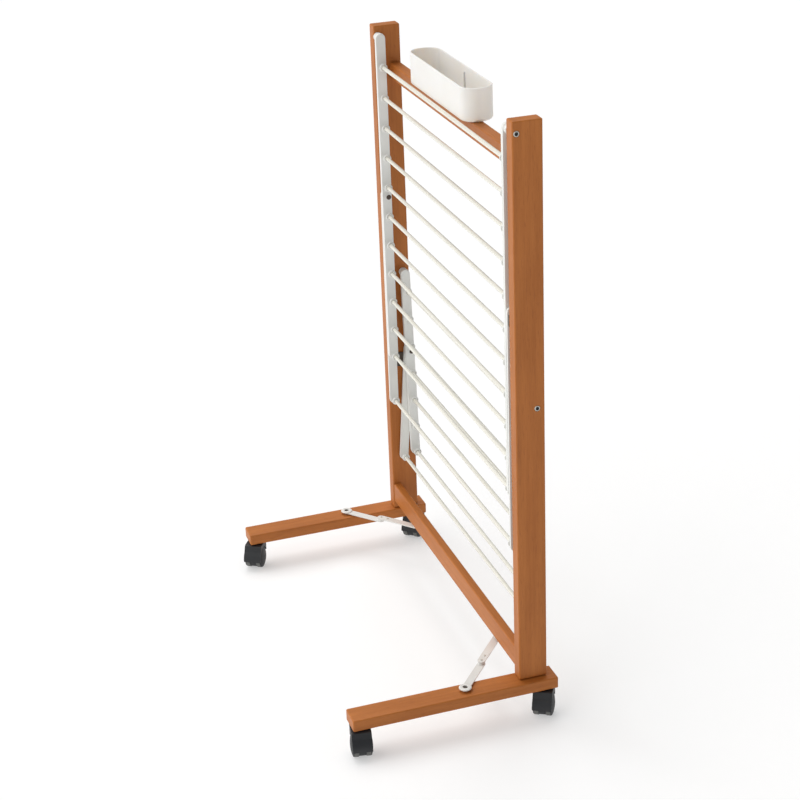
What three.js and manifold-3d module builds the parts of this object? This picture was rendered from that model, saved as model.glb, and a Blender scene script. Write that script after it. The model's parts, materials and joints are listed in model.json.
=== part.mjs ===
// A folding clothes drying rack on casters: two wooden posts with two crossbars,
// a tall front wing and a short rear wing of white rods that hinge on the posts,
// a wire-like stay under each wing, two feet that turn inwards, and a peg tray.
// Millimetres, +Z up, the front of the rack towards -Y.
import * as THREE from 'three';
import { mergeVertices } from 'three/addons/utils/BufferGeometryUtils.js';
import Module from 'manifold-3d';

const wasm = await Module();
wasm.setup();

// ---- driving dimensions ----------------------------------------------------
const GAP = 0.3; // between pieces that touch or turn on each other
const CENTRE = { x: 9.3, y: -145.3 }; // middle of the footprint, from the middle of the posts

const CASTER_HEIGHT = 50;
// A foot's middle line lies outward of the post's, so that the post stands near its inner edge.
const FOOT = { width: 41, thickness: 21, front: 319, rear: 40, corner: 3.5, outward: 4.4 };
const DECK = CASTER_HEIGHT + FOOT.thickness; // height of the feet's upper faces

const POST = { outer: 347, thickness: 24, depth: 49, length: 958, edge: 2.5 };
const POST_INNER = POST.outer - POST.thickness;
const POST_AXIS = POST.outer - POST.thickness / 2;
const FOOT_LINE = POST_AXIS + FOOT.outward;
const POST_FOOT_GAP = 1.2;

const UPPER_BAR = { front: 3, rear: 23, bottom: DECK + 862, top: DECK + 890.5 };
const LOWER_BAR = { front: -23, rear: -8, bottom: DECK + 15, top: DECK + 53 };

const RAIL = { inner: 305, outer: 313.3, width: 17 };
const STAY = { inner: 314.3, outer: 319.3, width: 16.5 };
const ROD_RADIUS = 3.5;
const ROD_PITCH = 55.5;
const BOLT = { shank: 3, head: 4.8, headDepth: 3 };
const SPACER_RADIUS = 7.6;

// A wing hangs from its pivot and opens towards opens (-1 is the front). lean is its
// angle off the vertical, towards the rear; rivet and stay place the stay's end rod.
const FRONT_WING = {
  opens: -1,
  pivot: { y: -17.5, z: DECK + 940 },
  rods: 11,
  firstRod: 50,
  lean: 0,
  rivet: 290,
  stay: 411,
  stayLean: 0,
};
const REAR_WING = {
  opens: 1,
  pivot: { y: 11.7, z: DECK + 493 },
  rods: 7,
  firstRod: 32,
  lean: 1.16,
  rivet: 153,
  stay: 224.5,
  stayLean: -4.3,
};
// The plates on the posts where the end rods of the stays come to rest.
const CATCH = { inner: 319.7, outer: POST_INNER - GAP, corner: 3 };
const FRONT_CATCH = { y0: -24, y1: -9.5, z0: DECK + 626, z1: DECK + 646 };
const REAR_CATCH = { y0: -8, y1: 16, z0: DECK + 303, z1: DECK + 331 };

// The folding brace of a foot: two equal links between the foot and the lower crossbar.
const BRACE = { footPivot: 118, barPivot: 117, width: 13.5, thickness: 2, washer: 10.75 };
const BRACE_Y = (LOWER_BAR.front + LOWER_BAR.rear) / 2;
const FOOT_LINK_Z = DECK + 2.5;
const BAR_LINK_Z = DECK + 8.5;

// A twin-wheel caster: a hood over two wheels that stand to one side of the swivel axis.
const CASTER = { trail: 13, wheel: 20, tread: 14.8, hub: 18.7, web: 6, neck: 8.5, axle: 3 };
const HOOD = { inner: 20.8, outer: 22.6, half: 16.6, crown: 48.6, from: -5, bend: 52, to: 160 };
const WEB = { radius: 19, from: -52 }; // its edge under the hood's front lip
const CASTER_END = 16.5; // from the swivel axis to the end of the foot
const CASTER_Y = { front: -FOOT.front + CASTER_END, rear: FOOT.rear - CASTER_END };
// The way each caster points from its swivel, in degrees from +X.
const CASTER_YAW = { right: { front: -10, rear: -31 }, left: { front: -32, rear: -40 } };

const TRAY = { x0: -184.5, x1: 107, y0: -10.5, y1: 45.2, height: 56, corner: 26, wall: 2.4 };

// ---- materials ---------------------------------------------------------------
const material = (color, roughness, metalness = 0) =>
  new THREE.MeshStandardMaterial({ color, roughness, metalness });
const WOOD = material(0xa8662f, 0.5);
const WHITE = material(0xf1efe8, 0.35);
const CREAM = material(0xf6f2e2, 0.3);
const TRAY_WHITE = material(0xeeecef, 0.45);
const STEEL = material(0xb9bab6, 0.35, 0.9);
const DARK = material(0x44362b, 0.5);
const BLACK = material(0x2b2e31, 0.5);
const TREAD = material(0x5d5e5b, 0.7);

// ---- shape helpers -----------------------------------------------------------
const SIDES = { right: 1, left: -1 };
const radians = THREE.MathUtils.degToRad;

function roundedRect(x0, x1, y0, y1, r) {
  const shape = new THREE.Shape();
  shape.absarc(x1 - r, y0 + r, r, -Math.PI / 2, 0);
  shape.absarc(x1 - r, y1 - r, r, 0, Math.PI / 2);
  shape.absarc(x0 + r, y1 - r, r, Math.PI / 2, Math.PI);
  shape.absarc(x0 + r, y0 + r, r, Math.PI, 1.5 * Math.PI);
  return shape;
}

// A bar with round ends, from point a to point b.
function stadium(a, b, width) {
  const r = width / 2;
  const angle = Math.atan2(b[1] - a[1], b[0] - a[0]);
  const shape = new THREE.Shape();
  shape.absarc(b[0], b[1], r, angle - Math.PI / 2, angle + Math.PI / 2);
  shape.absarc(a[0], a[1], r, angle + Math.PI / 2, angle + 1.5 * Math.PI);
  return shape;
}

function addHole(shape, centre, radius) {
  const hole = new THREE.Path();
  hole.absarc(centre[0], centre[1], radius, 0, 2 * Math.PI, true);
  shape.holes.push(hole);
}

function extrude(shape, depth, edge, segments) {
  return new THREE.ExtrudeGeometry(shape, {
    depth: depth - 2 * edge,
    steps: 1,
    curveSegments: segments,
    bevelEnabled: edge > 0,
    bevelThickness: edge,
    bevelSize: edge,
    bevelOffset: -edge,
    bevelSegments: 1,
  }).translate(0, 0, edge);
}

// A plate drawn in Y and Z, from x0 to x1.
function plateX(shape, x0, x1, edge = 0, segments = 4) {
  const turn = new THREE.Matrix4().makeBasis(
    new THREE.Vector3(0, 1, 0), new THREE.Vector3(0, 0, 1), new THREE.Vector3(1, 0, 0));
  return extrude(shape, x1 - x0, edge, segments).applyMatrix4(turn).translate(x0, 0, 0);
}

// A plate drawn in X and Y, from z0 to z1.
function plateZ(shape, z0, z1, edge = 0, segments = 4) {
  return extrude(shape, z1 - z0, edge, segments).translate(0, 0, z0);
}

// A turned piece about the X axis through (y, z); profile points are [radius, x].
function turnedX(profile, y, z, segments = 12) {
  const points = profile.map(([r, x]) => new THREE.Vector2(r, x));
  const geometry = new THREE.LatheGeometry(points, segments);
  return geometry.rotateZ(-Math.PI / 2).translate(0, y, z);
}

function turnedZ(profile, x, y, segments = 12) {
  const points = profile.map(([r, z]) => new THREE.Vector2(r, z));
  return new THREE.LatheGeometry(points, segments).rotateX(Math.PI / 2).translate(x, y, 0);
}

function toSolid(geometry) {
  const bare = geometry.clone();
  bare.deleteAttribute('normal');
  bare.deleteAttribute('uv');
  const welded = mergeVertices(bare, 1e-4);
  const triVerts = new Uint32Array(welded.index.array);
  const vertProperties = new Float32Array(welded.attributes.position.array);
  return new wasm.Manifold(new wasm.Mesh({ numProp: 3, vertProperties, triVerts }));
}

function toGeometry(solid) {
  const mesh = solid.getMesh();
  const geometry = new THREE.BufferGeometry();
  geometry.setAttribute('position', new THREE.BufferAttribute(mesh.vertProperties, 3));
  geometry.setIndex(new THREE.BufferAttribute(mesh.triVerts, 1));
  return geometry;
}

const join = (...parts) => toGeometry(parts.map(toSolid).reduce((a, b) => a.add(b)));
const cut = (body, ...tools) => toGeometry(tools.map(toSolid).reduce((a, b) => a.subtract(b), toSolid(body)));

const root = new THREE.Group();

function place(name, geometry, surface, parent = root) {
  const mesh = new THREE.Mesh(geometry, surface);
  mesh.name = name;
  parent.add(mesh);
  return mesh;
}

// The left-hand copy of a plate that is drawn for the right-hand side.
const sideRange = (side, inner, outer) => (side > 0 ? [inner, outer] : [-outer, -inner]);

// ---- posts and crossbars -------------------------------------------------------
const BOTTOM = DECK + POST_FOOT_GAP;

function addPost(sideName, side) {
  const half = POST.depth / 2;
  const shape = roundedRect(-half, half, BOTTOM, BOTTOM + POST.length, POST.edge + 0.5);
  const [x0, x1] = sideRange(side, POST_INNER, POST.outer);
  const body = plateX(shape, x0, x1, POST.edge, 2);
  const bores = [FRONT_WING.pivot, REAR_WING.pivot].map(({ y, z }) => {
    const head = POST.outer - BOLT.headDepth - GAP;
    const reach = [
      [0, POST_INNER - 1], [BOLT.shank + GAP, POST_INNER - 1], [BOLT.shank + GAP, head],
      [BOLT.head + GAP, head], [BOLT.head + GAP, POST.outer + 1], [0, POST.outer + 1],
    ];
    return mirrorTurned(reach, side, y, z);
  });
  place(`post_${sideName}`, cut(body, ...bores), WOOD);
}

// A turned piece whose profile is given for the right-hand side.
function mirrorTurned(profile, side, y, z, segments = 12) {
  const points = side > 0 ? profile : profile.map(([r, x]) => [r, -x]).reverse();
  return turnedX(points, y, z, segments);
}

function addCrossbar(name, bar) {
  const reach = POST_INNER - GAP;
  const shape = roundedRect(bar.front, bar.rear, bar.bottom, bar.top, 3);
  place(name, plateX(shape, -reach, reach, 0.8, 2), WOOD);
}

// ---- wings, stays and their pivots -----------------------------------------------
// The point at a distance down a bar that leans towards the rear, as [y, z].
function along(pivot, distance, lean) {
  const angle = radians(lean);
  return [pivot.y + distance * Math.sin(angle), pivot.z - distance * Math.cos(angle)];
}

function rodBetween(name, reach, y, z, surface = CREAM) {
  const profile = [[0, -reach], [ROD_RADIUS, -reach], [ROD_RADIUS, reach], [0, reach]];
  place(name, turnedX(profile, y, z, 12), surface);
}

function addWing(wingName, wing) {
  const lastRod = wing.firstRod + (wing.rods - 1) * ROD_PITCH;
  const top = along(wing.pivot, 0, wing.lean);
  const end = along(wing.pivot, lastRod, wing.lean);
  for (const [sideName, side] of Object.entries(SIDES)) {
    const shape = stadium(top, end, RAIL.width);
    addHole(shape, top, BOLT.shank + GAP);
    const [x0, x1] = sideRange(side, RAIL.inner, RAIL.outer);
    place(`${wingName}_rail_${sideName}`, plateX(shape, x0, x1, 0.9), WHITE);
  }
  for (let i = 0; i < wing.rods; i += 1) {
    const [y, z] = along(wing.pivot, wing.firstRod + i * ROD_PITCH, wing.lean);
    const number = String(i + 1).padStart(2, '0');
    rodBetween(`${wingName}_rod_${number}`, RAIL.inner - GAP, y, z);
  }
}

function addStay(wingName, wing) {
  const [y, z] = along(wing.pivot, wing.rivet, wing.lean);
  const end = along({ y, z }, wing.stay, wing.stayLean);
  for (const [sideName, side] of Object.entries(SIDES)) {
    const [x0, x1] = sideRange(side, STAY.inner, STAY.outer);
    const bar = plateX(stadium([y, z], end, STAY.width), x0, x1, 0.8);
    place(`${wingName}_stay_bar_${sideName}`, bar, WHITE);
  }
  rodBetween(`${wingName}_stay_rod`, STAY.inner - GAP, end[0], end[1]);
}

function addPivot(wingName, wing, sideName, side) {
  const { y, z } = wing.pivot;
  const head = POST.outer - BOLT.headDepth;
  const end = RAIL.inner + GAP; // in a blind insert, just behind the rail's face
  const socket = BOLT.head * 0.65;
  const bolt = [
    [0, end], [BOLT.shank, end], [BOLT.shank, head],
    [BOLT.head, head], [BOLT.head, POST.outer + 0.4], [socket, POST.outer + 0.4],
    [socket, head + 0.8], [0, head + 0.8],
  ];
  place(`${wingName}_pivot_bolt_${sideName}`, mirrorTurned(bolt, side, y, z), STEEL);
  const inner = RAIL.outer + GAP;
  const outer = POST_INNER - GAP;
  const hole = BOLT.shank + GAP;
  const ring = [[hole, inner], [SPACER_RADIUS, inner], [SPACER_RADIUS, outer], [hole, outer], [hole, inner]];
  place(`${wingName}_pivot_spacer_${sideName}`, mirrorTurned(ring, side, y, z), WHITE);
}

// Where the stay's end rod is when the wing is level and the stay props it at 45 degrees.
function openEnd(wing) {
  const back = wing.stay * Math.SQRT1_2;
  return [wing.pivot.y + wing.opens * (wing.rivet - back), wing.pivot.z - back];
}

function addCatch(wingName, wing, plate, sideName, side) {
  const { y0, y1, z0, z1 } = plate;
  const { corner } = CATCH;
  const [seatY, seatZ] = openEnd(wing);
  const radius = ROD_RADIUS + 0.7;
  const dip = Math.asin((seatZ - z1) / radius);
  const shape = new THREE.Shape();
  shape.absarc(y1 - corner, z0 + corner, corner, -Math.PI / 2, 0);
  shape.lineTo(y1, z1);
  shape.absarc(seatY, seatZ, radius, -dip, dip - Math.PI, true);
  shape.lineTo(y0, z1);
  shape.absarc(y0 + corner, z0 + corner, corner, Math.PI, 1.5 * Math.PI);
  const [x0, x1] = sideRange(side, CATCH.inner, CATCH.outer);
  place(`${wingName}_catch_${sideName}`, plateX(shape, x0, x1), DARK);
}

// ---- feet, braces and casters ------------------------------------------------------
function addFoot(sideName, side) {
  const x = side * FOOT_LINE;
  const half = FOOT.width / 2;
  const shape = roundedRect(x - half, x + half, -FOOT.front, FOOT.rear, FOOT.corner);
  place(`foot_${sideName}`, plateZ(shape, CASTER_HEIGHT, DECK, 2.5, 3), WOOD);
}

function addBrace(sideName, side) {
  const footEnd = [side * FOOT_LINE, -BRACE.footPivot];
  const barEnd = [side * (POST_AXIS - BRACE.barPivot), BRACE_Y];
  const knuckle = [(footEnd[0] + barEnd[0]) / 2, (footEnd[1] + barEnd[1]) / 2];
  const t = BRACE.thickness;
  const disc = (at, r, z0, z1) => turnedZ([[0, z0], [r, z0], [r, z1], [0, z1]], at[0], at[1]);
  const footLink = join(
    plateZ(stadium(footEnd, knuckle, BRACE.width), FOOT_LINK_Z, FOOT_LINK_Z + t),
    disc(footEnd, BRACE.washer, FOOT_LINK_Z + t - 0.5, FOOT_LINK_Z + t + 2.4),
    disc(footEnd, 5, DECK + GAP, FOOT_LINK_Z + 0.5),
    disc(knuckle, 4, FOOT_LINK_Z + t - 0.5, BAR_LINK_Z - GAP),
  );
  place(`brace_foot_link_${sideName}`, footLink, WHITE);
  const barLink = join(
    plateZ(stadium(barEnd, knuckle, BRACE.width), BAR_LINK_Z, BAR_LINK_Z + t),
    disc(barEnd, 5, BAR_LINK_Z + t - 0.5, LOWER_BAR.bottom - GAP),
  );
  place(`brace_bar_link_${sideName}`, barLink, WHITE);
}

// A caster in its own group: the swivel axis is local z, the wheels stand along local +x.
function addCaster(sideName, side, endName) {
  const group = new THREE.Group();
  group.position.set(side * FOOT_LINE, CASTER_Y[endName], 0);
  group.rotation.z = radians(CASTER_YAW[sideName][endName]);
  root.add(group);
  place(`caster_housing_${sideName}_${endName}`, casterHousing(), BLACK, group);
  place(`caster_wheels_${sideName}_${endName}`, casterWheels(), TREAD, group);
}

function casterHousing() {
  const { trail, wheel, web, neck, axle } = CASTER;
  const upright = new THREE.Matrix4().makeBasis(
    new THREE.Vector3(1, 0, 0), new THREE.Vector3(0, 0, 1), new THREE.Vector3(0, -1, 0));
  const across = (shape, width) =>
    extrude(shape, width, 0, 8).translate(0, 0, -width / 2).applyMatrix4(upright);
  const [from, bend, to] = [HOOD.from, HOOD.bend, HOOD.to].map(radians);
  const hood = new THREE.Shape();
  hood.absarc(trail, wheel, HOOD.outer, from, bend);
  hood.lineTo(trail + neck, HOOD.crown);
  hood.lineTo(-neck, HOOD.crown);
  hood.absarc(trail, wheel, HOOD.inner, to, from, true);
  // The web fills the space between the wheels, clear of the floor.
  const middle = new THREE.Shape();
  middle.absarc(trail, wheel, WEB.radius, radians(WEB.from), from);
  middle.absarc(trail, wheel, HOOD.outer - 1, from, to);
  middle.lineTo(trail - 8, wheel - 13);
  middle.lineTo(trail + 4, wheel - 17);
  const [low, top] = [HOOD.crown - 4, CASTER_HEIGHT - GAP];
  const stem = turnedZ([[0, low], [neck, low], [neck, top], [0, top]], 0, 0);
  const bore = new THREE.CylinderGeometry(axle + GAP, axle + GAP, 3 * web, 12).translate(trail, 0, wheel);
  const cover = join(stem, across(hood, 2 * HOOD.half));
  return cut(join(cover, across(middle, 2 * web)), bore);
}

function casterWheels() {
  const { trail, wheel, tread, hub, web, axle } = CASTER;
  const inner = web + GAP;
  const dome = [[0, hub], [9, hub - 0.6], [16, hub - 2.2], [wheel, tread]];
  const half = [...dome, [wheel, inner], [axle, inner]];
  const profile = [...half.map(([r, y]) => [r, -y]), ...half.reverse()];
  const points = profile.map(([r, y]) => new THREE.Vector2(r, y));
  return new THREE.LatheGeometry(points, 24).translate(trail, 0, wheel);
}

// ---- peg tray ------------------------------------------------------------------------
function addTray() {
  const { x0, x1, y0, y1, height, corner, wall } = TRAY;
  const floor = UPPER_BAR.top + GAP;
  const outer = plateZ(roundedRect(x0, x1, y0, y1, corner), floor, floor + height, 0, 6);
  const middle = (x0 + x1) / 2;
  const inside = roundedRect(x0 + wall, x1 - wall, y0 + wall, y1 - wall, corner - wall);
  const hollow = plateZ(inside, floor + wall + 0.6, floor + height + 1, 0, 6);
  // A short fin up the inside of the rear wall.
  const ribOutline = roundedRect(middle - 1.2, middle + 1.2, y1 - wall - 3.2, y1 - wall / 2, 0.5);
  const rib = plateZ(ribOutline, floor + 0.5, floor + height - 11, 0, 1);
  const shell = cut(outer, hollow);
  const lug = (lx, ly0, ly1, drop) =>
    plateZ(roundedRect(lx - 12, lx + 12, ly0, ly1, 0.5), floor - drop, floor + 1, 0, 1);
  const lugs = [x0 + 60, x1 - 60].flatMap((lx) => [
    lug(lx, UPPER_BAR.rear + GAP, UPPER_BAR.rear + GAP + 3, 14),
    lug(lx, UPPER_BAR.front - GAP - 2.4, UPPER_BAR.front - GAP, 3),
  ]);
  place('peg_tray', join(shell, rib, ...lugs), TRAY_WHITE);
}

// ---- assembly --------------------------------------------------------------------------
addCrossbar('crossbar_upper', UPPER_BAR);
addCrossbar('crossbar_lower', LOWER_BAR);
addWing('front', FRONT_WING);
addWing('rear', REAR_WING);
addStay('front', FRONT_WING);
addStay('rear', REAR_WING);
for (const [sideName, side] of Object.entries(SIDES)) {
  addPost(sideName, side);
  addPivot('front', FRONT_WING, sideName, side);
  addPivot('rear', REAR_WING, sideName, side);
  addCatch('front', FRONT_WING, FRONT_CATCH, sideName, side);
  addCatch('rear', REAR_WING, REAR_CATCH, sideName, side);
  addFoot(sideName, side);
  addBrace(sideName, side);
  addCaster(sideName, side, 'front');
  addCaster(sideName, side, 'rear');
}
addTray();
root.position.set(-CENTRE.x, -CENTRE.y, 0);

export default root;
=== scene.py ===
"""A folding clothes drying rack of stained beech on casters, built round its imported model.

Two posts on two feet are tied by two crossbars. A tall front wing and a short rear wing of
coated rods hang on the posts, each with a stay that props it level, and a peg tray sits on
the upper crossbar. Metres, +Z up, the front of the rack towards -Y.
"""

import json
import math

import bmesh
import bpy
from bpy.props import FloatProperty, FloatVectorProperty, IntProperty, PointerProperty
from mathutils import Euler, Matrix, Vector


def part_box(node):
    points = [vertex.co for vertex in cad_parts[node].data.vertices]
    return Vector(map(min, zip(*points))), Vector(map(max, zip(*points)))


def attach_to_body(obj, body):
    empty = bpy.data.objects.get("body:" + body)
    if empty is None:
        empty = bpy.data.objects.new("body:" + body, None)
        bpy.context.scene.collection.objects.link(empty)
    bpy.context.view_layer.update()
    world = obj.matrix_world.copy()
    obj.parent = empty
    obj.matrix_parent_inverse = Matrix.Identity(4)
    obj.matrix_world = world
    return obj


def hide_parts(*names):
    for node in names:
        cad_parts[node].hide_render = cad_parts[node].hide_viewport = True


bl_info = {
    "name": "Folding clothes drying rack",
    "version": (1, 0, 0),
    "blender": (4, 5, 0),
    "location": "3D View > Sidebar > Drying rack",
    "description": "Makes a wooden clothes drying rack with two rod wings, piece by piece",
    "category": "Add Mesh",
}

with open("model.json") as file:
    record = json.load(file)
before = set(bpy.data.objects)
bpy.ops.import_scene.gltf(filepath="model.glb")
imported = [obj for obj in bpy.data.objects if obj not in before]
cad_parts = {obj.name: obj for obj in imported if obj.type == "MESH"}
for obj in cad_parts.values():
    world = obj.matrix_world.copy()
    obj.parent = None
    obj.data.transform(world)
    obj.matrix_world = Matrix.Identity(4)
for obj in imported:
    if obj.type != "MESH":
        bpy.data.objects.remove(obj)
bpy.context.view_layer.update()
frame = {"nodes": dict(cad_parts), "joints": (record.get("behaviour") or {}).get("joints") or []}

SIDES = {"right": 1, "left": -1}
ENDS = ("front", "rear")
WINGS = ("front", "rear")
MM = 0.001
X_AXIS, Y_AXIS, Z_AXIS = Vector((1, 0, 0)), Vector((0, 1, 0)), Vector((0, 0, 1))


# ---- what the frame says ---------------------------------------------------------------
def joint_at(name):
    """Where a joint turns, as a point."""
    return next(Vector(j["pos_m"]) for j in frame["joints"] if j["name"] == name)


def middle(node):
    low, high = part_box(node)
    return (low + high) / 2


def reach(node):
    """The smallest and largest distance of a node from the rack's middle plane, along X."""
    low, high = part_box(node)
    side = 1 if low.x + high.x > 0 else -1
    return sorted((low.x * side, high.x * side))


# ---- settings --------------------------------------------------------------------------
def length(name, description, default, high=0.1):
    return FloatProperty(
        name=name, description=description, default=default, min=0, max=high,
        unit="LENGTH", precision=4,
    )


def colour(name, description, default):
    return FloatVectorProperty(
        name=name, description=description, default=default, size=3, subtype="COLOR",
        min=0, max=1,
    )


class RackSizes(bpy.types.PropertyGroup):
    """Sizes of the details that the frame leaves open."""

    post_edge: length("Post edge", "Rounding of the posts' and feet's edges", 2.4 * MM)
    bar_edge: length("Crossbar edge", "Rounding of the crossbars' edges", 2.6 * MM)
    rail_edge: length("Rail edge", "Rounding of the rails' rims", 1.1 * MM)
    rod_sides: IntProperty(name="Rod sides", description="Faces round a rod", default=24, min=8)
    collar_radius: length("Collar radius", "Outer radius of the collars round the rods", 7.3 * MM)
    collar_width: length("Collar width", "Breadth of the collars' ring", 2.9 * MM)
    collar_height: length("Collar height", "How far the collars stand off the rails", 3.1 * MM)
    cap_radius: length("Cap radius", "Radius of the caps at the ends of the stays", 7.4 * MM)
    cap_height: length("Cap height", "How far those caps stand off the stay bars", 2.6 * MM)
    rivet_radius: length("Rivet radius", "Radius of the rivets the stays turn on", 4.6 * MM)
    rivet_height: length("Rivet height", "How far those rivets stand off the rails", 2.0 * MM)
    washer_radius: length("Washer radius", "Radius of the washers on the feet", 10.75 * MM)
    washer_bore: length("Washer bore", "Radius of the washers' dark bore", 4.3 * MM)
    link_width: length("Link width", "Breadth of the brace links", 13.5 * MM)
    tray_rounding: length("Tray rounding", "Rounding of the tray's bottom edge", 5.0 * MM)
    tray_corner: length("Tray corner", "Corner radius of the tray's outline", 26.0 * MM)
    tray_wall: length("Tray wall", "Thickness of the tray's wall", 2.4 * MM)


class RackColours(bpy.types.PropertyGroup):
    """Colours of the rack's finishes."""

    wood_light: colour("Light wood", "Stained beech, the lighter fibres", (0.515, 0.172, 0.034))
    wood_dark: colour("Dark wood", "Stained beech, the darker bands", (0.405, 0.126, 0.021))
    wood_fleck: colour("Wood flecks", "The short dark rays of beech", (0.20, 0.055, 0.012))
    white: colour("White plastic", "Rails, stay bars and spacers", (0.800, 0.805, 0.775))
    enamel: colour("White enamel", "The steel links of the foot braces", (0.780, 0.770, 0.740))
    cream: colour("Cream coating", "The rods", (0.790, 0.770, 0.690))
    tray: colour("Tray plastic", "The peg tray", (0.830, 0.797, 0.758))
    brown: colour("Brown plastic", "Rivets and catches", (0.055, 0.034, 0.022))
    black: colour("Black plastic", "Caster hoods, wheel discs and screws", (0.014, 0.016, 0.019))
    tread: colour("Tread", "The casters' treads", (0.135, 0.138, 0.130))
    zinc: colour("Zinc", "Bolts", (0.66, 0.64, 0.59))
    floor: colour("Floor", "The studio floor", (0.60, 0.60, 0.60))


# ---- shader maths ----------------------------------------------------------------------
class Value:
    """A number in a shader tree, which sums, differences and products can be written with."""

    def __init__(self, finish, socket):
        self.finish = finish
        self.socket = socket

    def _math(self, operation, first, second):
        return self.finish.node("ShaderNodeMath", {"operation": operation}, {0: first, 1: second})

    def __add__(self, other):
        return self._math("ADD", self, other)

    def __sub__(self, other):
        return self._math("SUBTRACT", self, other)

    def __rsub__(self, other):
        return self._math("SUBTRACT", other, self)

    def __mul__(self, other):
        return self._math("MULTIPLY", self, other)

    __radd__ = __add__
    __rmul__ = __mul__


class Finish:
    """One material. Its pattern stands in the object's own space."""

    def __init__(self, name):
        self.material = bpy.data.materials.new(name)
        self.material.use_nodes = True
        self.tree = self.material.node_tree
        self.tree.nodes.clear()
        self.shader = self.tree.nodes.new("ShaderNodeBsdfPrincipled")
        out = self.tree.nodes.new("ShaderNodeOutputMaterial")
        self.tree.links.new(self.shader.outputs["BSDF"], out.inputs["Surface"])
        self.place = self.node("ShaderNodeTexCoord", output="Object")

    def feed(self, socket, value):
        if isinstance(value, Value):
            self.tree.links.new(value.socket, socket)
        elif hasattr(socket.default_value, "__len__") and len(value) < len(socket.default_value):
            socket.default_value = (*value, 1.0)
        else:
            socket.default_value = value

    def node(self, kind, settings=None, inputs=None, output=0):
        """A node: its settings go in first, then the values or links of its sockets."""
        made = self.tree.nodes.new(kind)
        for key, value in (settings or {}).items():
            if key == "stops":
                set_stops(made.color_ramp, value)
            else:
                setattr(made, key, value)
        for key, value in (inputs or {}).items():
            self.feed(made.inputs[key], value)
        return Value(self, made.outputs[output])

    def noise(self, scale, stretch, detail, shift=0.0):
        """Noise from 0 to 1 about 0.5. stretch multiplies the scale along each axis."""
        spot = self.node(
            "ShaderNodeMapping", {},
            {"Vector": self.place, "Scale": stretch, "Location": (shift,) * 3},
        )
        return self.node(
            "ShaderNodeTexNoise", {}, {"Vector": spot, "Scale": scale, "Detail": detail}
        )

    def ramp(self, factor, stops):
        return self.node("ShaderNodeValToRGB", {"stops": stops}, {0: factor})

    def mix(self, factor, first, second):
        """A colour between two colours."""
        return self.node(
            "ShaderNodeMix", {"data_type": "RGBA"}, {0: factor, 6: first, 7: second}, output=2
        )

    def bump(self, height, distance, strength=1.0):
        return self.node(
            "ShaderNodeBump", {}, {"Height": height, "Distance": distance, "Strength": strength}
        )

    def set(self, **sockets):
        """Sets or links the shader's sockets, named with _ for a space."""
        for key, value in sockets.items():
            self.feed(self.shader.inputs[key.replace("_", " ")], value)
        return self.material


def set_stops(ramp, stops):
    """Gives a colour ramp its stops: (position, grey level)."""
    while len(ramp.elements) < len(stops):
        ramp.elements.new(0.5)
    for element, (position, level) in zip(ramp.elements, stops):
        element.position = position
        element.color = (level, level, level, 1.0)


# ---- finishes --------------------------------------------------------------------------
FINISHES = {}


def finish(name):
    """The material of that name, made when it is first asked for."""
    if name not in FINISHES:
        FINISHES[name] = MAKERS[name](bpy.context.scene.rack_colours)
    return FINISHES[name]


EVEN = (1, 1, 1)  # a pattern as wide as it is long
ALONG = {"fibre": 0.035, "band": 0.10, "ray": 0.11}  # how wide each is for its length


def stained_beech(name, axis, shift):
    """Beech under a satin lacquer, with its fibres along one axis: 0, 1 or 2."""

    def drawn(pattern):
        """The stretch that draws a pattern out along the fibres."""
        return tuple(ALONG[pattern] if i == axis else 1.0 for i in range(3))

    def make(colours):
        wood = Finish(name)
        fine = wood.noise(900, drawn("fibre"), 4.0, shift)
        coarse = wood.noise(190, drawn("fibre"), 3.0, shift + 3)
        bands = wood.noise(34, drawn("band"), 2.0, shift + 7)
        spots = wood.noise(620, drawn("ray"), 1.0, shift + 11)
        rays = wood.ramp(spots, [(0.60, 0.0), (0.70, 1.0)])
        patches = wood.noise(9, EVEN, 2.0, shift + 5)
        figure = fine * 0.34 + coarse * 0.40 + bands * 0.62 + patches * 0.30
        depth = wood.ramp(figure, [(0.62, 0.0), (1.04, 1.0)])
        plain = wood.mix(depth, colours.wood_light, colours.wood_dark)
        surface = wood.mix(rays * 0.20, plain, colours.wood_fleck)
        height = fine * 0.5 + coarse * 0.6 - rays * 0.4
        return wood.set(
            Base_Color=surface,
            Roughness=fine * 0.16 + bands * 0.10 + 0.37,
            Normal=wood.bump(height, 0.12 * MM, 0.5),
            Specular_IOR_Level=0.30,
            Coat_Weight=0.04,
            Coat_Roughness=0.25,
        )

    return make


def moulded(name, key, rough, grain, depth, speckle=0.06, milky=0.0):
    """Moulded plastic: an even colour with a fine skin texture and slow cloudiness.

    key names its colour. grain is the fineness of the skin and depth its height. speckle is
    how much the colour changes. A milky plastic lets some light through its wall.
    """

    def make(colours):
        plastic = Finish(name)
        skin = plastic.noise(grain, EVEN, 3.0)
        cloud = plastic.noise(14, EVEN, 2.0, 4)
        base = Vector(getattr(colours, key))
        tone = plastic.ramp(cloud, [(0.3, 0.0), (0.7, 1.0)])
        surface = plastic.mix(tone, base * (1 - speckle), base * (1 + speckle * 0.5))
        return plastic.set(
            Base_Color=surface,
            Roughness=skin * 0.12 + cloud * 0.08 + (rough - 0.10),
            Normal=plastic.bump(skin, depth, 0.6),
            Subsurface_Weight=milky,
            Subsurface_Radius=(1.0, 0.85, 0.70),
            Subsurface_Scale=8 * MM,
        )

    return make


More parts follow.
